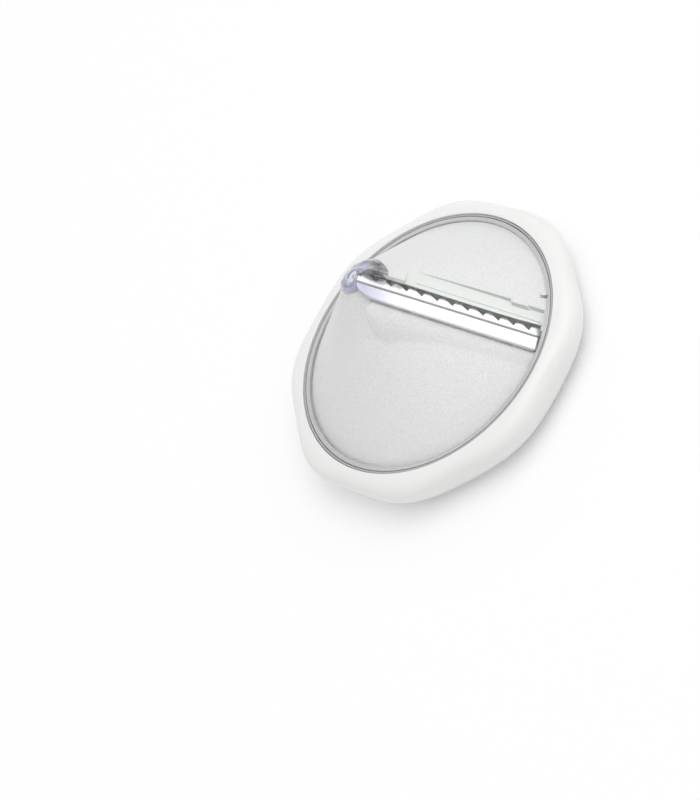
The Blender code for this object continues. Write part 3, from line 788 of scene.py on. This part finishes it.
def frostedPlastic():
    # clear plastic with a sand-blasted grain, polished where the face says so, with a painted grey shade on
    # rim and riser
    made, g = newFinish("frostedPlastic")
    look, place = frostedLook, g.place()
    polish, paintedShade = g.faceValue("polish"), g.faceValue("paintedShade")
    dull = 1 - polish
    grain = g.noise(place, look["fineGrain"], detail=1)
    grain += look["grainShare"] * g.noise(place, look["grain"], detail=1)
    cloud = g.noise(place, look["cloud"], detail=3)
    speck = g.ramp(g.noise(place, look["speck"], detail=2, roughness=0.7), *look["speckEnds"])
    # painted shade: the rim and the riser take the grey, the flat land the greenish colour
    colour = g.blend(polish, g.blend(speck, *look["dusted"]), g.blend(paintedShade, *look["polishedAndShade"]))
    roughness = look["polished"] + (look["dull"] + look["duller"] * cloud) * dull
    g.finish(Base_Color=colour, Roughness=roughness, Normal=g.bump(grain * dull, look["grainHeight"]),
             IOR=look["ior"], Transmission_Weight=look["clear"])
    return made


def clearPlastic():
    # polished clear plastic: a cool cast, and a painted shade, greyer with fine spokes, round the tip by the
    # teeth
    made, g = newFinish("clearPlastic")
    look, place = clearLook, g.place()
    marks = g.ramp(g.noise(place, look["marks"], detail=3, roughness=0.6), *look["markEnds"])
    cool = g.blend(g.noise(place, look["cast"], detail=2), *look["cool"])
    x, y = g.apart(place, "XY")
    turn = g.add("ShaderNodeCombineXYZ", None, {"X": g.math("ARCTAN2", y, x) * mm})  # a radian counts as 1 mm
    spokes = g.ramp(g.noise(turn, look["spokes"], detail=2, roughness=0.6), *look["spokeEnds"])
    grey = g.blend(spokes, *look["grey"])
    # painted shade: the hub turns greyer on the side of the teeth
    y = g.apart(g.turned(planeFrame), "Y")[0]
    paintedHubShade = g.fade(y, bladeLength - look["greyFrom"], bladeLength - look["greyTo"])
    g.finish(Base_Color=g.blend(paintedHubShade, cool, grey), Roughness=look["roughness"] + look["marked"] * marks,
             IOR=look["ior"], Transmission_Weight=look["clear"])
    return made


def steelFinish(name, across, along, roughness, cast, paintedShadow):
    # ground steel: fine lines stretched one way in the blade's own frame, a painted cool reflection and shade
    # at the inner end, and a painted shadow where the strip goes in under the spine
    made, g = newFinish(name)
    look, place = steelLook, g.turned(planeFrame)
    stretch = (1 / across, 1 / along, 1)
    stretched = g.add("ShaderNodeVectorMath", {"operation": "MULTIPLY"}, {0: place, 1: stretch})
    lines = g.noise(stretched, 1.0, detail=3, roughness=0.6)
    colour = g.blend(g.noise(place, look["cloud"], detail=2), *look["colours"])
    x, y = g.apart(place, "XY")
    # painted reflection and shade: the steel turns a cool lavender towards the blade's inner end
    colour = g.blend(g.fade(y, look["paintedReflectionFrom"], look["paintedReflectionTo"]) * cast, colour, look["cast"])
    taper = (spine["inner"] - spine["outer"]) / bladeLength
    ahead = x + spine["outer"] * mm + taper * y  # of the spine's front edge
    # painted shadow: the strip darkens just ahead of the spine's front edge, where it goes in under the spine
    colour = g.blend(g.fade(ahead, look["paintedShadowFrom"], look["paintedShadowTo"]) * paintedShadow, colour, look["paintedShadow"])
    g.finish(Base_Color=colour, Metallic=1.0, Roughness=roughness + look["lined"] * lines,
             Normal=g.bump(lines, look["lineHeight"]))
    return made


def greyRubber():
    # matt rubber with a fine speck
    made, g = newFinish("greyRubber")
    look = rubberLook
    speck = g.noise(g.place(), look["speck"], detail=3)
    g.finish(Base_Color=g.blend(speck, *look["colours"]), Roughness=look["roughness"] + look["rough"] * speck,
             Normal=g.bump(speck, look["speckHeight"]))
    return made


# Camera: placed round the part by azimuth and elevation, rolled, and shifted sideways to frame it

view = {
    "azimuth": 50.0, "elevation": 43.04, "roll": -50.23, "distance": 718.69, "aside": -20.01, "above": -15.99,
    "centreZ": 12.0, "lens": 120.0, "sensor": 36.0, "clipStart": 0.01,
}
azimuth, elevation, roll = (math.radians(view[key]) for key in ("azimuth", "elevation", "roll"))
level = Vector((math.cos(azimuth), math.sin(azimuth), 0))
toCamera = Vector((math.sin(azimuth), -math.cos(azimuth), 0)) * math.cos(elevation)
toCamera.z = math.sin(elevation)
upright = toCamera.cross(level)
imageRight = math.cos(roll) * level + math.sin(roll) * upright
imageUp = math.cos(roll) * upright - math.sin(roll) * level


def addCamera():
    data = bpy.data.cameras.new("camera")
    data.lens, data.clip_start = view["lens"], view["clipStart"]
    data.sensor_fit, data.sensor_height = "VERTICAL", view["sensor"]
    item = bpy.data.objects.new("camera", data)
    bpy.context.scene.collection.objects.link(item)
    place = Vector((0, 0, view["centreZ"])) + toCamera * view["distance"]
    place += imageRight * view["aside"] + imageUp * view["above"]
    facing = Matrix((imageRight, imageUp, toCamera)).transposed().to_4x4()
    item.matrix_world = Matrix.Translation(place * mm) @ facing
    bpy.context.scene.camera = item


# Stage: a pale floor that keeps the shadow, soft lamps, and a white surround. Sizes are in metres and powers
# in watts, apart from the floor's clear ring, which is in millimetres

studio = {
    "keyPower": 1.8, "keySize": 0.6, "keyDistance": 0.75, "keyLean": 38.0,
    "glintPower": 0.48, "glintSize": 0.7, "glintDistance": 0.9,
    "fillPower": 0.4, "fillSize": 0.6, "fillDistance": 0.9, "fillUp": 0.3, "fillLeft": 0.8,
    "flagSize": 0.4, "flagDistance": 0.6, "aimZ": 0.02, "surround": 0.76,
    "floorHalf": 3.0, "floorGlow": 0.9, "floorSheen": 0.4, "floorThrough": 1.0,
    "clearFrom": 36.0, "clearTo": 75.0,
    "floorColour": (0.94, 0.94, 0.94, 1), "flagColour": (0.03, 0.03, 0.035, 1), "glowColour": (1, 1, 1, 1),
}


def addLamp(name, direction, distance, size, power):
    # a square lamp that looks at the part
    data = bpy.data.lights.new(name, "AREA")
    data.shape, data.size, data.energy = "SQUARE", size, power
    item = bpy.data.objects.new(name, data)
    bpy.context.scene.collection.objects.link(item)
    direction = direction.normalized()
    place = Vector((0, 0, studio["aimZ"])) + direction * distance
    item.matrix_world = Matrix.Translation(place) @ direction.to_track_quat("Z", "Y").to_matrix().to_4x4()


def addCard(name, centre, side, up, finish):
    # a flat rectangle that reaches by side and by up both ways from its centre
    mesh = bpy.data.meshes.new(name)
    corners = [centre - side - up, centre + side - up, centre + side + up, centre - side + up]
    mesh.from_pydata(corners, [], [(0, 1, 2, 3)])
    mesh.materials.append(finish)
    item = bpy.data.objects.new(name, mesh)
    bpy.context.scene.collection.objects.link(item)
    return item


def addFlag(name, direction, distance, size):
    # a dark card that only polished and clear surfaces see, so that their edges read
    made, g = newFinish("flagDark")
    dark = g.add("ShaderNodeBsdfDiffuse", None, {"Color": studio["flagColour"]})
    g.add("ShaderNodeOutputMaterial", None, {"Surface": dark})
    direction = direction.normalized()
    side = direction.orthogonal().normalized() * size / 2
    item = addCard(name, direction * distance, side, direction.cross(side), made)
    item.visible_camera = item.visible_diffuse = item.visible_shadow = False


def rayKinds(g):
    kinds = ("Is Camera Ray", "Is Glossy Ray", "Is Transmission Ray")
    return [g.add("ShaderNodeLightPath", None, None, kind) for kind in kinds]


def addFloor():
    # matt near the part, for its shadow, and glowing white further out and to what looks through or glances
    s = studio
    made, g = newFinish("floorWhite")
    seen, glossy, through = rayKinds(g)
    away = g.add("ShaderNodeVectorMath", {"operation": "LENGTH"}, {0: g.place()}, "Value")
    limits = {"Value": away, "From Min": s["clearFrom"] * mm, "From Max": s["clearTo"] * mm}
    outside = g.add("ShaderNodeMapRange", None, limits)
    share = seen * outside * s["floorGlow"] + glossy * s["floorSheen"] + through * s["floorThrough"]
    matt = g.add("ShaderNodeBsdfDiffuse", None, {"Color": s["floorColour"]})
    glow = g.add("ShaderNodeEmission", None, {"Color": s["glowColour"], "Strength": 1.0})
    mixed = g.add("ShaderNodeMixShader", None, {0: share, 1: matt, 2: glow})
    g.add("ShaderNodeOutputMaterial", None, {"Surface": mixed})
    half = s["floorHalf"]
    floor = addCard("floor", Vector(), Vector((half, 0, 0)), Vector((0, half, 0)), made)


def addSurround():
    # white to the camera, to reflections and through clear pieces, and a little darker as a light
    world = bpy.data.worlds.new("surround")
    world.use_nodes = True
    bpy.context.scene.world = world
    g = Graph(world.node_tree)
    seen, glossy, through = rayKinds(g)
    bright = g.math("MAXIMUM", g.math("MAXIMUM", seen, glossy), through)
    strength = studio["surround"] + (1 - studio["surround"]) * bright
    back = g.add("ShaderNodeBackground", None, {"Color": studio["glowColour"], "Strength": strength})
    g.add("ShaderNodeOutputWorld", None, {"Surface": back})


def addLamps():
    # the flag stands ahead of the blade, the glint where the blade mirrors it, and the key above that
    s = studio
    bladeFacing = planeFrame.to_3x3().normalized()
    forward, out = bladeFacing.col[0], bladeFacing.col[2]
    mirrored = (2 * out.dot(toCamera) * out - toCamera).normalized()
    lean = Matrix.Rotation(math.radians(s["keyLean"]), 3, mirrored.cross(Vector((0, 0, 1))))
    addFlag("flag", forward, s["flagDistance"], s["flagSize"])
    addLamp("glint", mirrored, s["glintDistance"], s["glintSize"], s["glintPower"])
    addLamp("key", lean @ mirrored, s["keyDistance"], s["keySize"], s["keyPower"])
    beside = toCamera + imageUp * s["fillUp"] - imageRight * s["fillLeft"]
    addLamp("fill", beside, s["fillDistance"], s["fillSize"], s["fillPower"])


white = whitePlastic()
frosted = frostedPlastic()
clear = clearPlastic()
# cast is the share of the painted cool reflection at the inner end; the last share is the painted shadow
# ahead of the spine
ground = steelFinish("groundSteel", across=2.2, along=0.12, roughness=0.2, cast=0.0, paintedShadow=0.8)
brushed = steelFinish("brushedSteel", across=0.10, along=3.5, roughness=0.15, cast=1.0, paintedShadow=0.0)
rubber = greyRubber()
print("finishes made")

cuts = openings()
recesses = pinCuts(pins["head"], blade["gap"] - pins["depth"] + pins["headHeight"])
holes = pinCuts(pins["shank"], blade["thickness"] + 2 * blade["gap"] + pins["bite"])
print("cutting shapes made")

gripShell(white)
gripCover(white)
sealBand(rubber)
coneWall(frosted, [*cuts.values(), *recesses, *holes])
hubGem(clear, [cuts["slot"], cuts["pocket"]])
toothedStrip(ground, holes)
spineBar(brushed, holes)
for name, node, share in pins["places"]:
    pinPiece(name, node, share, ground)
for tool in [*cuts.values(), *recesses, *holes]:
    bpy.data.objects.remove(tool, do_unlink=True)

addCamera()
addFloor()
addSurround()
addLamps()
bpy.context.scene.view_settings.view_transform = "Standard"
print("camera and stage set")
